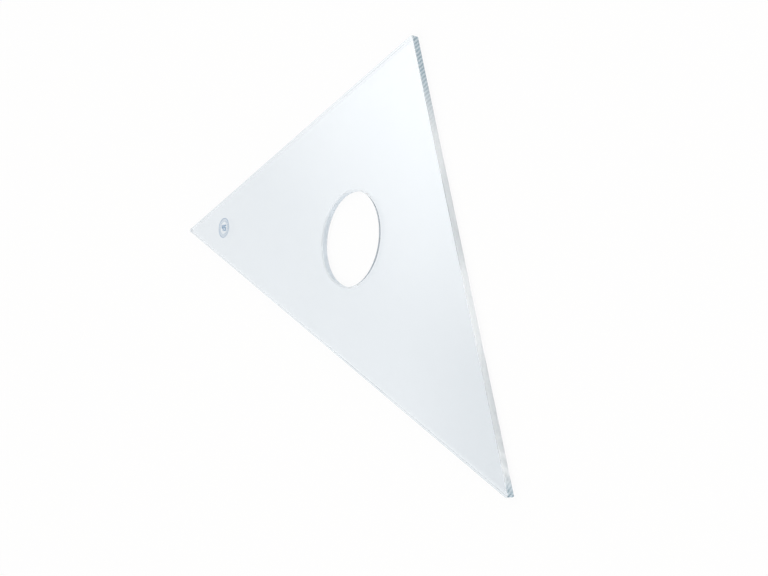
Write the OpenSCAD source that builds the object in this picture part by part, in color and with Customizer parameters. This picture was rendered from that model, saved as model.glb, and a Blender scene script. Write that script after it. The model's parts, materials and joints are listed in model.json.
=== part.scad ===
// Navigation triangle: a clear acrylic set square with two equal short sides, for use on a chart.
// It lies flat, with the long edge along X and the right-angled corner towards +Y. Millimetres.
// The origin is the middle of the plate's box, on the face that lies on the chart.

/* [Plate] */
// Length of the long edge, measured to its sharp corner points
long_edge = 254; // [200:1:360]
// Thickness of the sheet
sheet_t = 3; // [2:0.1:6]
// Radius of the three corners, seen from above
corner_r = 0.8; // [0.7:0.05:4]
// Width of the small bevel along the outer edges
edge_break = 0.15; // [0.1:0.05:0.6]

/* [Finger hole] */
// Diameter of the hole's straight wall
hole_d = 38.1; // [25:0.1:46]
// Distance of the hole's centre from the long edge
hole_up = 44; // [36:0.5:54]
// Width of the bevel on the hole's two rims
hole_break = 0.5; // [0.2:0.05:0.8]

/* [Printed mark] */
// Outside diameter of the printed ring
mark_d = 9; // [6:0.1:14]
// Width of the ring's line
mark_line = 0.5; // [0.3:0.05:1.5]
// Distance of the ring's centre from the two edges that meet at its corner
mark_inset = 13; // [10:0.1:18]
// Thickness of the ink
ink_t = 0.05; // [0.03:0.01:0.1]

/* [Hidden] */
$fn = 128;

// How far a cutting shape runs past the surface that it cuts
cut_over = 1;

// How far a corner's arc runs past the two edges that it blends, so that it crosses them cleanly
arc_lap = 0.005;
arc_inset = corner_r - arc_lap;

// Angles of the two sharp corners, at the ends of the long edge, and of the right-angled corner
end_angle = 45;
apex_angle = 180 - 2 * end_angle;

// Height of the right-angled corner over the long edge, to its sharp point and to its arc
apex_h = long_edge / 2 * tan(end_angle);
depth = apex_h - arc_inset / sin(apex_angle / 2) + corner_r;

long_edge_y = -depth / 2;
apex_y = long_edge_y + apex_h;

// Each edge as the direction out of it and its distance from the origin
edges = [
    [-90, -long_edge_y],
    [90 - end_angle, apex_y * cos(end_angle)],
    [90 + end_angle, apex_y * cos(end_angle)],
];

// Each corner as its sharp point, the direction out of it and its angle
corners = [
    [[0, apex_y], 90, apex_angle],
    [[long_edge / 2, long_edge_y], -end_angle / 2, end_angle],
    [[-long_edge / 2, long_edge_y], 180 + end_angle / 2, end_angle],
];

hole_centre = [0, long_edge_y + hole_up];
mark_centre = [mark_inset / tan(end_angle / 2) - long_edge / 2, long_edge_y + mark_inset];

// The sheet on the inner side of one edge, with that edge bevelled above and below
module side_of_edge(out_angle, edge_at) {
    rotate([90, 0, out_angle])
        linear_extrude(2 * long_edge, center = true)
            polygon([
                [edge_at - long_edge, 0],
                [edge_at - edge_break, 0],
                [edge_at, edge_break],
                [edge_at, sheet_t - edge_break],
                [edge_at - edge_break, sheet_t],
                [edge_at - long_edge, sheet_t],
            ]);
}

// The bevelled disc that a corner is rounded to, which runs on above and below the sheet
module corner_disc() {
    over = (corner_r - edge_break) / 2;
    end_r = corner_r - edge_break - over;
    rotate_extrude()
        polygon([
            [0, -over],
            [end_r, -over],
            [corner_r, edge_break],
            [corner_r, sheet_t - edge_break],
            [end_r, sheet_t + over],
            [0, sheet_t + over],
        ]);
}

// What is taken off a sharp corner: a kite over its tip, less the disc that stays.
// The kite's sides run from the disc's centre through the two ends of the corner's arc.
module corner_waste(point, out_angle, angle) {
    half = angle / 2;
    reach = 2 * corner_r;
    over = (corner_r - edge_break) / 4;
    translate(point)
        rotate(out_angle)
            translate([-arc_inset / sin(half), 0, 0])
                difference() {
                    translate([0, 0, -over])
                        linear_extrude(sheet_t + 2 * over)
                            polygon([
                                [0, 0],
                                reach * [sin(half), -cos(half)],
                                [reach / sin(half), 0],
                                reach * [sin(half), cos(half)],
                            ]);
                    corner_disc();
                }
}

// The finger hole as one turned shape: a straight wall that opens into a bevel at each face
module finger_hole() {
    wall_r = hole_d / 2;
    mouth_r = wall_r + hole_break + cut_over;
    translate(hole_centre)
        rotate_extrude()
            polygon([
                [0, -cut_over],
                [mouth_r, -cut_over],
                [wall_r, hole_break],
                [wall_r, sheet_t - hole_break],
                [mouth_r, sheet_t + cut_over],
                [0, sheet_t + cut_over],
            ]);
}

// The sheet inside all three edges, with its corners rounded and the finger hole cut
module plate() {
    color([0.88, 0.92, 0.95, 0.5])
        difference() {
            intersection_for (edge = edges)
                side_of_edge(edge[0], edge[1]);
            for (corner = corners)
                corner_waste(corner[0], corner[1], corner[2]);
            finger_hole();
        }
}

// The printed ring, which lies on the upper face
module printed_mark() {
    color([0.42, 0.58, 0.74])
        translate([mark_centre.x, mark_centre.y, sheet_t])
            difference() {
                cylinder(d = mark_d, h = ink_t);
                translate([0, 0, -cut_over])
                    cylinder(d = mark_d - 2 * mark_line, h = ink_t + 2 * cut_over);
            }
}

plate();
printed_mark();
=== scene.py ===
import json
import math

import bmesh
import bpy
from mathutils import Matrix, Vector


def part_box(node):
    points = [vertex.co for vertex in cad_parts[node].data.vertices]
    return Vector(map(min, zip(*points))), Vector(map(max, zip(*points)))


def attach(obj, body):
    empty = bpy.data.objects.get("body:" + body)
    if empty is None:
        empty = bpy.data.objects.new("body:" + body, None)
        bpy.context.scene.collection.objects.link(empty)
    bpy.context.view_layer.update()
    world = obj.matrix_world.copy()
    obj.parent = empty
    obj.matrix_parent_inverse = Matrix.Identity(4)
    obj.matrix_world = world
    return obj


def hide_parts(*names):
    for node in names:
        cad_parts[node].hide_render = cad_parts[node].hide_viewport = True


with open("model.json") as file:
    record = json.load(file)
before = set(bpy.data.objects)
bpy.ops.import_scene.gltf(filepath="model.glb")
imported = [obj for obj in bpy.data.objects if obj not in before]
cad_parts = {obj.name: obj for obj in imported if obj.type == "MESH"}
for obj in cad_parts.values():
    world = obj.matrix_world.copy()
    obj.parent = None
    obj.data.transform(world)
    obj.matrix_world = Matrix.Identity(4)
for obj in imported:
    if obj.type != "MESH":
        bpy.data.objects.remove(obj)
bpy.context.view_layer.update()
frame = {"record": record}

MM = 0.001
BODY = "root"

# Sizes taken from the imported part
PLATE_LOW, PLATE_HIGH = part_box("plate")
MARK_LOW, MARK_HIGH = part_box("printed_mark")
MOUNTS = {mount["name"]: mount for mount in frame["record"]["mounts"]}
FINGER_HOLE = MOUNTS["finger_hole"]
SHEET_T = PLATE_HIGH.z - PLATE_LOW.z
HOLE_AT = Vector(FINGER_HOLE["pos_m"]).to_2d()
HOLE_R = FINGER_HOLE["dims"]["r_mm"] * MM
HOLE_BREAK = (SHEET_T - FINGER_HOLE["dims"]["length_mm"] * MM) / 2
MARK_AT = (MARK_LOW + MARK_HIGH).to_2d() / 2
MARK_R = (MARK_HIGH.x - MARK_LOW.x) / 2

# The plate's corners and eased edges
CORNER_R = 0.8 * MM
EDGE_BREAK = 0.15 * MM
END_ANGLE = math.radians(45)
CORNER_STEPS = 24
EASE_STEPS = 4
HOLE_STEPS = 256

# Places of the plate's finishes among its materials
FACE, POLISHED, CUT, HOLE_WALL, HOLE_BEVEL = range(5)

# How much a wall has to face the way of the cut edge to share its finish, so that its two corners do
CUT_FACING = 0.5

# The marks that the tools left on the walls: a cutter's slanted ridges, and fine scratches
WALL_MAP = "wall_run"
RIDGE_SLANT = math.radians(42)
RIDGE_PITCH = 1.27 * MM
RIDGE_DEPTH = 0.003 * MM
RIDGE_UNEVENNESS = 1.8
SCRATCH_WIDTH = 0.07 * MM
SCRATCH_LENGTH = 3.0 * MM
CUT_SCRATCH_DEPTH = 0.03 * MM
POLISHED_SCRATCH_DEPTH = 0.003 * MM
TURNED_SCRATCH_DEPTH = 0.0015 * MM

# How fast the wave texture turns for each unit of its coordinate
WAVE_RADIANS = 20

# How far from the right-angled corner and from the two sharp ones the ridges and their painted shade reach,
# and where they are full
APEX_REACH, APEX_FULL = 33 * MM, 10 * MM
END_REACH, END_FULL = 6 * MM, 0.5 * MM

# How far the scratches shift the tone of the ridges and their painted shade
RIDGE_GRAIN = 0.25

# The fine unevenness of the faces and the ink: how many patches in a metre, and how deep
FACE_CLOUDS = 18
FACE_SMUDGES = 45
FACE_WAVES = 60
FACE_WAVE_DEPTH = 0.003 * MM
INK_GRAINS = 2600
INK_GRAIN_DEPTH = 0.003 * MM

# The range in which most values of a noise texture lie
NOISE_LOW, NOISE_HIGH = 0.3, 0.7

# Each finish's two tints, between which its fine marks vary it
# The faces' tints are partly the acrylic's own faint blue and partly painted shade, darkening the plate as
# the floor's shadow under it would
FACE_TINTS_WITH_PAINTED_SHADE = (0.862, 0.910, 0.950), (0.874, 0.920, 0.958)
POLISHED_TINTS = (0.86, 0.90, 0.93), (0.92, 0.95, 0.97)
CUT_TINTS = (0.87, 0.93, 0.98), (0.93, 0.98, 1.0)
# The ridges' dark tints are partly the cut's own darker marks and partly painted shade near the corners
RIDGE_AND_PAINTED_SHADE_TINTS = (0.28, 0.40, 0.48), (0.60, 0.72, 0.80)
HOLE_WALL_TINTS = (0.71, 0.80, 0.88), (0.77, 0.85, 0.92)
HOLE_BEVEL_TINTS = (0.79, 0.86, 0.92), (0.84, 0.90, 0.95)
INK_TINTS = (0.10, 0.23, 0.41), (0.17, 0.32, 0.50)

# Each finish's least and greatest roughness
FACE_ROUGHNESS = 0.012, 0.045
POLISHED_ROUGHNESS = 0.02, 0.05
CUT_ROUGHNESS = 0.10, 0.25
TURNED_ROUGHNESS = 0.20, 0.32
INK_ROUGHNESS = 0.45, 0.7

# How much cast acrylic bends light, and how clear it is where a tool has frosted it, where 1 is quite clear.
# The cut edge has two values: away from its corners, and near them.
ACRYLIC_IOR = 1.49
CUT_CLEARNESS = 0.22, 0.30
HOLE_WALL_CLEARNESS = 0.15
HOLE_BEVEL_CLEARNESS = 0.2

# The printed mark, a small dial with the corner's angle in figures
RING_LINE = 0.24 * MM
INNER_RING_R = 3.15 * MM
INNER_RING_LINE = 0.12 * MM
TICK_COUNT = 24
TICK_LINE = 0.2 * MM
TICK_GAP = 0.22 * MM
RING_STEPS = 96

# The ink's height, lifted a little so that it shares no surface with the plate
INK_LIFT = 0.004 * MM
INK_BOTTOM = MARK_LOW.z + INK_LIFT
INK_TOP = MARK_HIGH.z

# The dial's block figures, as outlines on a grid whose squares are one stroke wide
FIGURE_STROKE = 0.55 * MM
FIGURE_COLUMNS, FIGURE_ROWS, FIGURE_GAP = 3, 5, 1
FIGURES = {
    "4": ((0, 5), (1, 5), (1, 3), (2, 3), (2, 5), (3, 5), (3, 0), (2, 0), (2, 2), (0, 2)),
    "5": ((0, 5), (3, 5), (3, 4), (1, 4), (1, 3), (3, 3), (3, 0), (0, 0), (0, 1), (2, 1), (2, 2), (0, 2)),
}

# The floor, just under the plate
FLOOR_HALF = 6.0
FLOOR_DROP = 0.1 * MM
FLOOR_COLOUR = (0.9, 0.9, 0.9, 1.0)
FLOOR_WHITE_SHARE = 0.9

# The camera, from the photograph's viewing angle
CAMERA_AT = Vector((0.3882, 0.0958, 0.2870))
CAMERA_LOOKS_AT = Vector((0.0268, -0.0291, 0.0))
CAMERA_UP = Vector((-0.3834, 0.9199, 0.0823))
CAMERA_LENS = 58.6
CAMERA_NEAREST = 0.01

# Soft lights with feathered rims behind the plate: two large ones and a small one between them.
# Each has its azimuth, elevation, full core and rim in degrees, and its strength.
GLOWS = (
    (168, 48, 15, 27, 1.6),
    (282, 48, 15, 27, 1.6),
    (231, 42, 4, 14, 0.65),
)

# The room round them: its walls are lighter than its ceiling
WALL_STRENGTH = 0.8
CEILING_STRENGTH = 0.03
WALL_TOP = math.radians(37.3)
CEILING_EDGE = math.radians(43)
LIGHT_COLOUR = (1.0, 0.97, 0.94, 1.0)
WHITE = (1.0, 1.0, 1.0, 1.0)

# How often light may turn inside the sheet, which carries it from edge to edge
LIGHT_BOUNCES = 96

# The lamp overhead
LAMP_AT = Vector((0.0, 0.0, 1.6))
LAMP_SIZE = 2.4
LAMP_POWER = 16.0


def feed(tree, value, socket):
    """Link a socket to another node's output, or set it to a plain value."""
    if isinstance(value, bpy.types.NodeSocket):
        tree.links.new(value, socket)
    else:
        socket.default_value = value


def calculated(tree, operation, *values, clamp=False):
    """The result of one step of arithmetic."""
    node = tree.nodes.new("ShaderNodeMath")
    node.operation = operation
    node.use_clamp = clamp
    for value, socket in zip(values, node.inputs):
        feed(tree, value, socket)
    return node.outputs["Value"]


def mapped(tree, value, low, high, from_low=NOISE_LOW, from_high=NOISE_HIGH, interpolation="LINEAR"):
    """A value moved from one range to another, held inside it."""
    node = tree.nodes.new("ShaderNodeMapRange")
    node.interpolation_type = interpolation
    node.inputs["From Min"].default_value = from_low
    node.inputs["From Max"].default_value = from_high
    node.inputs["To Min"].default_value = low
    node.inputs["To Max"].default_value = high
    tree.links.new(value, node.inputs["Value"])
    return node.outputs["Result"]


def ramp(tree, value, start, end, low, high):
    """A value that goes smoothly from low to high between two limits."""
    return mapped(tree, value, low, high, start, end, "SMOOTHSTEP")


def blended(tree, share, first, second):
    """A colour between two colours, each of them written out or from another node."""
    node = tree.nodes.new("ShaderNodeMix")
    node.data_type = "RGBA"
    for name, colour in (("A", first), ("B", second)):
        if isinstance(colour, tuple):
            colour = (*colour, 1.0)
        feed(tree, colour, node.inputs[name])
    tree.links.new(share, node.inputs["Factor"])
    return node.outputs["Result"]


def tinted(tree, value, tints):
    """A colour between two tints, by a noise value."""
    return blended(tree, mapped(tree, value, 0.0, 1.0), *tints)


def bumped(tree, height, depth, normal=None):
    """A normal turned by a height from 0 to 1, on top of another normal if one is given."""
    node = tree.nodes.new("ShaderNodeBump")
    node.inputs["Distance"].default_value = depth
    tree.links.new(height, node.inputs["Height"])
    if normal:
        tree.links.new(normal, node.inputs["Normal"])
    return node.outputs["Normal"]


def object_coordinates(tree):
    """A point's place on the object, in metres."""
    return tree.nodes.new("ShaderNodeTexCoord").outputs["Object"]


def wall_coordinates(tree, slant, across, lengthways):
    """Coordinates on a wall, turned by a slant and counted in marks of a given size."""
    run = tree.nodes.new("ShaderNodeUVMap")
    run.uv_map = WALL_MAP
    mapping = tree.nodes.new("ShaderNodeMapping")
    mapping.vector_type = "TEXTURE"
    mapping.inputs["Rotation"].default_value = (0.0, 0.0, slant)
    mapping.inputs["Scale"].default_value = (across, lengthways, 1.0)
    tree.links.new(run.outputs["UV"], mapping.inputs["Vector"])
    return mapping.outputs["Vector"]


def noise(tree, coordinates, cycles=1.0, detail=2.0):
    """A noise value from 0 to 1, with so many cycles for each unit of its coordinates."""
    node = tree.nodes.new("ShaderNodeTexNoise")
    node.inputs["Scale"].default_value = cycles
    node.inputs["Detail"].default_value = detail
    tree.links.new(coordinates, node.inputs["Vector"])
    return node.outputs["Fac"]


def scratches(tree, slant):
    """Fine scratches, upright or turned by a slant, as a height from 0 to 1."""
    return noise(tree, wall_coordinates(tree, slant, SCRATCH_WIDTH, SCRATCH_LENGTH))


def ridges(tree):
    """The cutter's slanted ridges, a little uneven, as a height from 0 to 1."""
    node = tree.nodes.new("ShaderNodeTexWave")
    node.inputs["Scale"].default_value = 2 * math.pi / WAVE_RADIANS
    node.inputs["Distortion"].default_value = RIDGE_UNEVENNESS
    tree.links.new(wall_coordinates(tree, RIDGE_SLANT, RIDGE_PITCH, RIDGE_PITCH), node.inputs["Vector"])
    return node.outputs["Fac"]


def near_corners(tree):
    """How near a point on the plate's edge is to a corner, from 0 to 1; it brings in the ridges' darker
    tone, which is partly painted shade.
    """
    place = tree.nodes.new("ShaderNodeSeparateXYZ")
    tree.links.new(object_coordinates(tree), place.inputs["Vector"])
    aside = calculated(tree, "ABSOLUTE", place.outputs["X"])
    apex = ramp(tree, place.outputs["Y"], PLATE_HIGH.y - APEX_REACH, PLATE_HIGH.y - APEX_FULL, 0.0, 1.0)
    end = ramp(tree, aside, PLATE_HIGH.x - END_REACH, PLATE_HIGH.x - END_FULL, 0.0, 1.0)
    return calculated(tree, "ADD", apex, end)


def light_path_share(tree, names):
    """How much of a ray is of the named kinds, from 0 to 1."""
    path = tree.nodes.new("ShaderNodeLightPath")
    share = path.outputs[names[0]]
    for name in names[1:]:
        share = calculated(tree, "ADD", share, path.outputs[name], clamp=True)
    return share


def new_material(name):
    """A new node material, with its node tree and its shader."""
    material = bpy.data.materials.new(name)
    material.use_nodes = True
    tree = material.node_tree
    return material, tree, tree.nodes["Principled BSDF"]


def acrylic(name):
    """A new material of clear cast acrylic, with its node tree and its shader."""
    material, tree, shader = new_material(name)
    shader.inputs["Transmission Weight"].default_value = 1.0
    shader.inputs["IOR"].default_value = ACRYLIC_IOR
    return material, tree, shader


def dress(tree, shader, colour, roughness, normal):
    """Give a shader its colour, roughness and normal."""
    tree.links.new(colour, shader.inputs["Base Color"])
    tree.links.new(roughness, shader.inputs["Roughness"])
    tree.links.new(normal, shader.inputs["Normal"])


def face_material():
    """Polished cast acrylic: clear, faintly blue, with a trace of handling on its gloss; its tint also
    paints the shade of the floor under the plate.
    """
    material, tree, shader = acrylic("clear_acrylic_face")
    place = object_coordinates(tree)
    colour = tinted(tree, noise(tree, place, FACE_CLOUDS, detail=3.0), FACE_TINTS_WITH_PAINTED_SHADE)
    roughness = mapped(tree, noise(tree, place, FACE_SMUDGES, detail=6.0), *FACE_ROUGHNESS)
    normal = bumped(tree, noise(tree, place, FACE_WAVES, detail=1.0), FACE_WAVE_DEPTH)
    dress(tree, shader, colour, roughness, normal)
    return material


def polished_material():
    """The two edges that are scraped and polished clear, with fine upright scratches."""
    material, tree, shader = acrylic("clear_acrylic_polished")
    scratch = scratches(tree, 0.0)
    colour = tinted(tree, scratch, POLISHED_TINTS)
    roughness = mapped(tree, scratch, *POLISHED_ROUGHNESS)
    dress(tree, shader, colour, roughness, bumped(tree, scratch, POLISHED_SCRATCH_DEPTH))
    return material


def cut_material():
    """The edge as the cutter left it: frosted, with ridges near its two corners, whose darker tone is partly
    their own and partly painted shade.
    """
    material, tree, shader = acrylic("clear_acrylic_cut")
    near = near_corners(tree)
    ridge = ridges(tree)
    scratch = scratches(tree, 0.0)
    grain = mapped(tree, scratch, -RIDGE_GRAIN, RIDGE_GRAIN)
    # Darker near the corners: partly the ridges' own tone, partly painted shade
    ridges_and_painted_shade = blended(tree, calculated(tree, "ADD", ridge, grain), *RIDGE_AND_PAINTED_SHADE_TINTS)
    colour = blended(tree, near, tinted(tree, scratch, CUT_TINTS), ridges_and_painted_shade)
    roughness = mapped(tree, near, *CUT_ROUGHNESS, 0.0, 1.0)
    normal = bumped(tree, scratch, CUT_SCRATCH_DEPTH, bumped(tree, ridge, RIDGE_DEPTH))
    dress(tree, shader, colour, roughness, normal)
    tree.links.new(mapped(tree, near, *CUT_CLEARNESS, 0.0, 1.0), shader.inputs["Transmission Weight"])
    return material


def turned_material(name, clearness, tints):
    """A turned wall of the hole: more or less frosted, with fine scratches that run round it."""
    material, tree, shader = acrylic(name)
    shader.inputs["Transmission Weight"].default_value = clearness
    scratch = scratches(tree, math.pi / 2)
    colour = tinted(tree, scratch, tints)
    roughness = mapped(tree, scratch, *TURNED_ROUGHNESS)
    dress(tree, shader, colour, roughness, bumped(tree, scratch, TURNED_SCRATCH_DEPTH))
    return material


def ink_material():
    """Screen-printed blue ink, a little uneven where the mesh of the screen let it through."""
    material, tree, shader = new_material("blue_ink")
    grain = noise(tree, object_coordinates(tree), INK_GRAINS, detail=4.0)
    colour = tinted(tree, grain, INK_TINTS)
    roughness = mapped(tree, grain, *INK_ROUGHNESS)
    dress(tree, shader, colour, roughness, bumped(tree, grain, INK_GRAIN_DEPTH))
    return material


def polar(angle, radius):
    """A point on a circle round the origin."""
    return Vector((math.cos(angle), math.sin(angle))) * radius


def round_ring(bm, centre, radius, z, steps):
    """One ring of points on a circle."""
    ring = []
    for step in range(steps):
        point = centre + polar(2 * math.pi * step / steps, radius)
        ring.append(bm.verts.new((*point, z)))
    return ring


def bridged(bm, first, second):
    """New faces between two rings of as many points, in their order round the rings."""
    faces = []
    for i in range(len(first)):
        j = (i + 1) % len(first)
        faces.append(bm.faces.new((first[i], first[j], second[j], second[i])))
    return faces


def add_object(name, bm, materials):
    """A new object in the scene from a finished mesh."""
    mesh = bpy.data.meshes.new(name)
    bm.to_mesh(mesh)
    bm.free()
    for material in materials:
        mesh.materials.append(material)
    item = bpy.data.objects.new(name, mesh)
    bpy.context.scene.collection.objects.link(item)
    return item


def outline_ring(bm, inset, z):
    """One ring of points round the plate: an arc at each corner, with straight edges between."""
    left = Vector((PLATE_LOW.x + CORNER_R, PLATE_LOW.y + CORNER_R))
    right = Vector((PLATE_HIGH.x - CORNER_R, PLATE_LOW.y + CORNER_R))
    apex = Vector(((PLATE_LOW.x + PLATE_HIGH.x) / 2, PLATE_HIGH.y - CORNER_R))
    long_edge_out = -math.pi / 2
    right_edge_out = math.pi / 2 - END_ANGLE
    left_edge_out = math.pi / 2 + END_ANGLE
    corners = (
        (right, long_edge_out, right_edge_out),
        (apex, right_edge_out, left_edge_out),
        (left, left_edge_out, long_edge_out + 2 * math.pi),
    )
    ring = []
    for centre, first, last in corners:
        for step in range(CORNER_STEPS + 1):
            angle = first + (last - first) * step / CORNER_STEPS
            point = centre + polar(angle, CORNER_R - inset)
            ring.append(bm.verts.new((*point, z)))
    return ring


def eased_profile():
    """The outer edge's section from the lower face to the upper one, as (inset, height) pairs."""
    lower = []
    for step in range(EASE_STEPS + 1):
        turn = math.pi / 2 * step / EASE_STEPS
        lower.append((EDGE_BREAK * (1 - math.sin(turn)), EDGE_BREAK * (1 - math.cos(turn))))
    upper = [(inset, SHEET_T - height) for inset, height in reversed(lower)]
    return lower + upper


def skin(bm, rings, finish):
    """Smooth walls between rings that follow each other, mapped by the run round them and the height."""
    wall_map = bm.loops.layers.uv[WALL_MAP]
    for lower, upper in zip(rings, rings[1:]):
        start = 0.0
        for face in bridged(bm, lower, upper):
            face.material_index = finish
            face.smooth = True
            end = start + (face.verts[1].co - face.verts[0].co).length
            for loop, run in zip(face.loops, (start, end, end, start)):
                loop[wall_map].uv = (run, loop.vert.co.z)
            start = end


def ring_edges(bm, ring):
    """The mesh edges along a closed ring of points."""
    count = len(ring)
    return [bm.edges.get((ring[i], ring[(i + 1) % count])) for i in range(count)]


def make_plate(materials):
    """The clear sheet with its rounded corners, eased edges and bevelled finger hole."""
    bm = bmesh.new()
    bm.loops.layers.uv.new(WALL_MAP)
    base_z = PLATE_LOW.z
    outer = [outline_ring(bm, inset, base_z + height) for inset, height in eased_profile()]
    skin(bm, outer[: EASE_STEPS + 1], FACE)
    skin(bm, outer[EASE_STEPS : EASE_STEPS + 2], POLISHED)
    skin(bm, outer[EASE_STEPS + 1 :], FACE)
    hole_section = (
        (HOLE_R + HOLE_BREAK, 0.0),
        (HOLE_R, HOLE_BREAK),
        (HOLE_R, SHEET_T - HOLE_BREAK),
        (HOLE_R + HOLE_BREAK, SHEET_T),
    )
    inner = [round_ring(bm, HOLE_AT, radius, base_z + height, HOLE_STEPS) for radius, height in hole_section]
    skin(bm, inner[:2], FACE)
    skin(bm, inner[1:3], HOLE_WALL)
    skin(bm, inner[2:], HOLE_BEVEL)
    for outer_ring, inner_ring in ((outer[0], inner[0]), (outer[-1], inner[-1])):
        rims = ring_edges(bm, outer_ring) + ring_edges(bm, inner_ring)
        bmesh.ops.triangle_fill(bm, use_beauty=True, use_dissolve=False, edges=rims)
    for ring in (outer[0], outer[-1], *inner):
        for edge in ring_edges(bm, ring):
            edge.smooth = False
    bmesh.ops.recalc_face_normals(bm, faces=bm.faces)
    cut_edge_out = polar(math.pi / 2 - END_ANGLE, 1.0).to_3d()
    for face in bm.faces:
        if face.material_index == POLISHED and face.normal.dot(cut_edge_out) > CUT_FACING:
            face.material_index = CUT
    return add_object("clear_plate", bm, materials)


def ink_ring(bm, outer_r, line):
    """A flat printed ring with its thickness."""
    section = (
        (outer_r, INK_BOTTOM),
        (outer_r, INK_TOP),
        (outer_r - line, INK_TOP),
        (outer_r - line, INK_BOTTOM),
    )
    rings = [round_ring(bm, MARK_AT, radius, z, RING_STEPS) for radius, z in section]
    for first, second in zip(rings, rings[1:] + rings[:1]):
        bridged(bm, first, second)


def ink_tick(bm, angle, inner_r, outer_r, line):
    """One printed tick, pointing at the middle of the dial."""
    size = Matrix.Diagonal((outer_r - inner_r, line, INK_TOP - INK_BOTTOM, 1.0))
    middle = MARK_AT + polar(angle, (inner_r + outer_r) / 2)
    place = Matrix.Translation((*middle, (INK_TOP + INK_BOTTOM) / 2))
    turn = Matrix.Rotation(angle, 4, "Z")
    bmesh.ops.create_cube(bm, size=1.0, matrix=place @ turn @ size)


def ink_figure(bm, outline, left, turn):
    """One printed figure from its outline on the grid, with the ink's thickness."""
    rings = []
    for z in (INK_BOTTOM, INK_TOP):
        ring = []
        for column, row in outline:
            point = Vector((left + column, row - FIGURE_ROWS / 2)) * FIGURE_STROKE
            ring.append(bm.verts.new((*(MARK_AT + turn @ point), z)))
        bm.faces.new(ring)
        rings.append(ring)
    bridged(bm, *rings)


def ink_figures(bm, text, reading_angle):
    """Printed figures in the middle of the dial."""
    turn = Matrix.Rotation(reading_angle, 2)
    pitch = FIGURE_COLUMNS + FIGURE_GAP
    first_left = (FIGURE_GAP - len(text) * pitch) / 2
    for place, digit in enumerate(text):
        ink_figure(bm, FIGURES[digit], first_left + place * pitch, turn)


def make_mark(material):
    """The printed dial: a ring, a band of ticks, a fine inner ring and the corner's angle."""
    bm = bmesh.new()
    ink_ring(bm, MARK_R, RING_LINE)
    ink_ring(bm, INNER_RING_R, INNER_RING_LINE)
    for tick in range(TICK_COUNT):
        angle = 2 * math.pi * tick / TICK_COUNT
        ink_tick(bm, angle, INNER_RING_R + TICK_GAP, MARK_R - RING_LINE - TICK_GAP, TICK_LINE)
    ink_figures(bm, "45", END_ANGLE / 2)
    bmesh.ops.recalc_face_normals(bm, faces=bm.faces)
    return add_object("printed_dial", bm, [material])


def floor_material():
    """White that the camera, gloss and clear acrylic see evenly bright, less a share for shadows."""
    material, tree, shader = new_material("floor_white")
    shader.inputs["Base Color"].default_value = FLOOR_COLOUR
    shader.inputs["Roughness"].default_value = 1.0
    shader.inputs["Specular IOR Level"].default_value = 0.0
    seen = light_path_share(tree, ("Is Camera Ray", "Is Glossy Ray", "Is Transmission Ray"))
    white = tree.nodes.new("ShaderNodeEmission")
    mix = tree.nodes.new("ShaderNodeMixShader")
    tree.links.new(calculated(tree, "MULTIPLY", seen, FLOOR_WHITE_SHARE), mix.inputs["Fac"])
    tree.links.new(shader.outputs["BSDF"], mix.inputs[1])
    tree.links.new(white.outputs["Emission"], mix.inputs[2])
    tree.links.new(mix.outputs["Shader"], tree.nodes["Material Output"].inputs["Surface"])
    return material


def make_floor():
    """A plain white floor that keeps the plate's soft shadow."""
    bm = bmesh.new()
    place = Matrix.Translation((0, 0, PLATE_LOW.z - FLOOR_DROP))
    bmesh.ops.create_grid(bm, x_segments=1, y_segments=1, size=FLOOR_HALF, matrix=place)
    floor = add_object("floor", bm, [floor_material()])


def towards(tree, direction, target):
    """How far a direction points towards a target: 1 straight at it, 0 across it."""
    node = tree.nodes.new("ShaderNodeVectorMath")
    node.operation = "DOT_PRODUCT"
    node.inputs[1].default_value = target
    tree.links.new(direction, node.inputs[0])
    return node.outputs["Value"]


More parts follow.
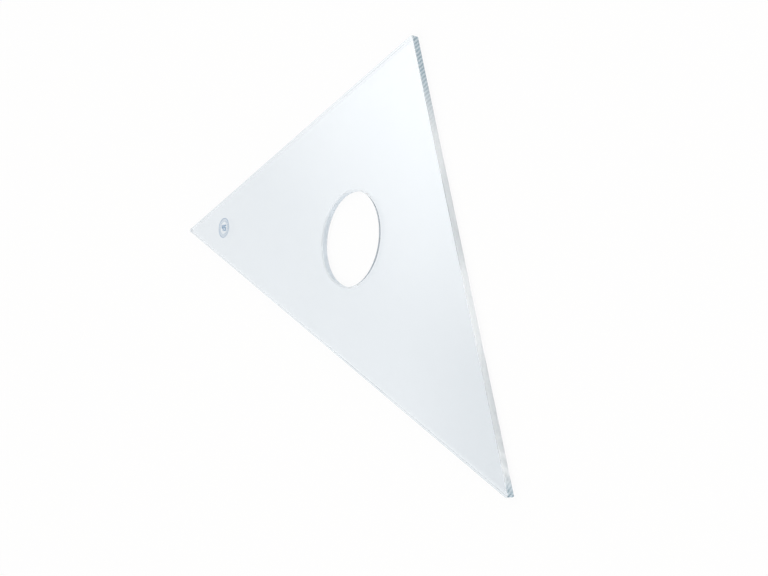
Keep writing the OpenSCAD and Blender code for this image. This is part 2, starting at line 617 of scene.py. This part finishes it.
def make_world():
    """A plain studio: soft glows in an evenly lit room, and white where the camera looks past it."""
    world = bpy.data.worlds.new("studio")
    bpy.context.scene.world = world
    world.use_nodes = True
    tree = world.node_tree
    direction = tree.nodes.new("ShaderNodeTexCoord").outputs["Generated"]
    height = towards(tree, direction, (0, 0, 1))
    room_top = math.sin(WALL_TOP), math.sin(CEILING_EDGE)
    strength = ramp(tree, height, *room_top, WALL_STRENGTH, CEILING_STRENGTH)
    for azimuth, elevation, core, rim, power in GLOWS:
        rise = math.radians(elevation)
        level = polar(math.radians(azimuth), math.cos(rise))
        facing = towards(tree, direction, (*level, math.sin(rise)))
        glow = ramp(tree, facing, math.cos(math.radians(rim)), math.cos(math.radians(core)), 0.0, power)
        strength = calculated(tree, "ADD", strength, glow)
    studio = tree.nodes["Background"]
    studio.inputs["Color"].default_value = LIGHT_COLOUR
    tree.links.new(strength, studio.inputs["Strength"])
    backdrop = tree.nodes.new("ShaderNodeBackground")
    backdrop.inputs["Color"].default_value = WHITE
    mix = tree.nodes.new("ShaderNodeMixShader")
    tree.links.new(light_path_share(tree, ("Is Camera Ray",)), mix.inputs["Fac"])
    tree.links.new(studio.outputs["Background"], mix.inputs[1])
    tree.links.new(backdrop.outputs["Background"], mix.inputs[2])
    tree.links.new(mix.outputs["Shader"], tree.nodes["World Output"].inputs["Surface"])


def make_lamp():
    """One large soft lamp overhead."""
    light = bpy.data.lights.new("overhead", "AREA")
    light.shape = "SQUARE"
    light.size = LAMP_SIZE
    light.energy = LAMP_POWER
    lamp = bpy.data.objects.new("overhead", light)
    lamp.location = LAMP_AT
    lamp.rotation_euler = (-LAMP_AT).to_track_quat("-Z", "Y").to_euler()
    bpy.context.scene.collection.objects.link(lamp)


def make_camera():
    """The camera at the photograph's viewing angle."""
    back = (CAMERA_AT - CAMERA_LOOKS_AT).normalized()
    right = CAMERA_UP.cross(back).normalized()
    up = back.cross(right)
    data = bpy.data.cameras.new("camera")
    data.lens = CAMERA_LENS
    data.clip_start = CAMERA_NEAREST
    camera = bpy.data.objects.new("camera", data)
    turn = Matrix((right, up, back)).transposed().to_4x4()
    camera.matrix_world = Matrix.Translation(CAMERA_AT) @ turn
    bpy.context.scene.collection.objects.link(camera)
    bpy.context.scene.camera = camera


make_camera()
make_world()
make_lamp()
make_floor()

hole_wall = turned_material("clear_acrylic_hole", HOLE_WALL_CLEARNESS, HOLE_WALL_TINTS)
hole_bevel = turned_material("clear_acrylic_bevel", HOLE_BEVEL_CLEARNESS, HOLE_BEVEL_TINTS)
plate = make_plate([face_material(), polished_material(), cut_material(), hole_wall, hole_bevel])
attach(plate, BODY)
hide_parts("plate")

mark = make_mark(ink_material())
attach(mark, BODY)
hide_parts("printed_mark")

bpy.context.scene.view_settings.view_transform = "Standard"
for bounces in ("max_bounces", "glossy_bounces", "transmission_bounces"):
    setattr(bpy.context.scene.cycles, bounces, LIGHT_BOUNCES)
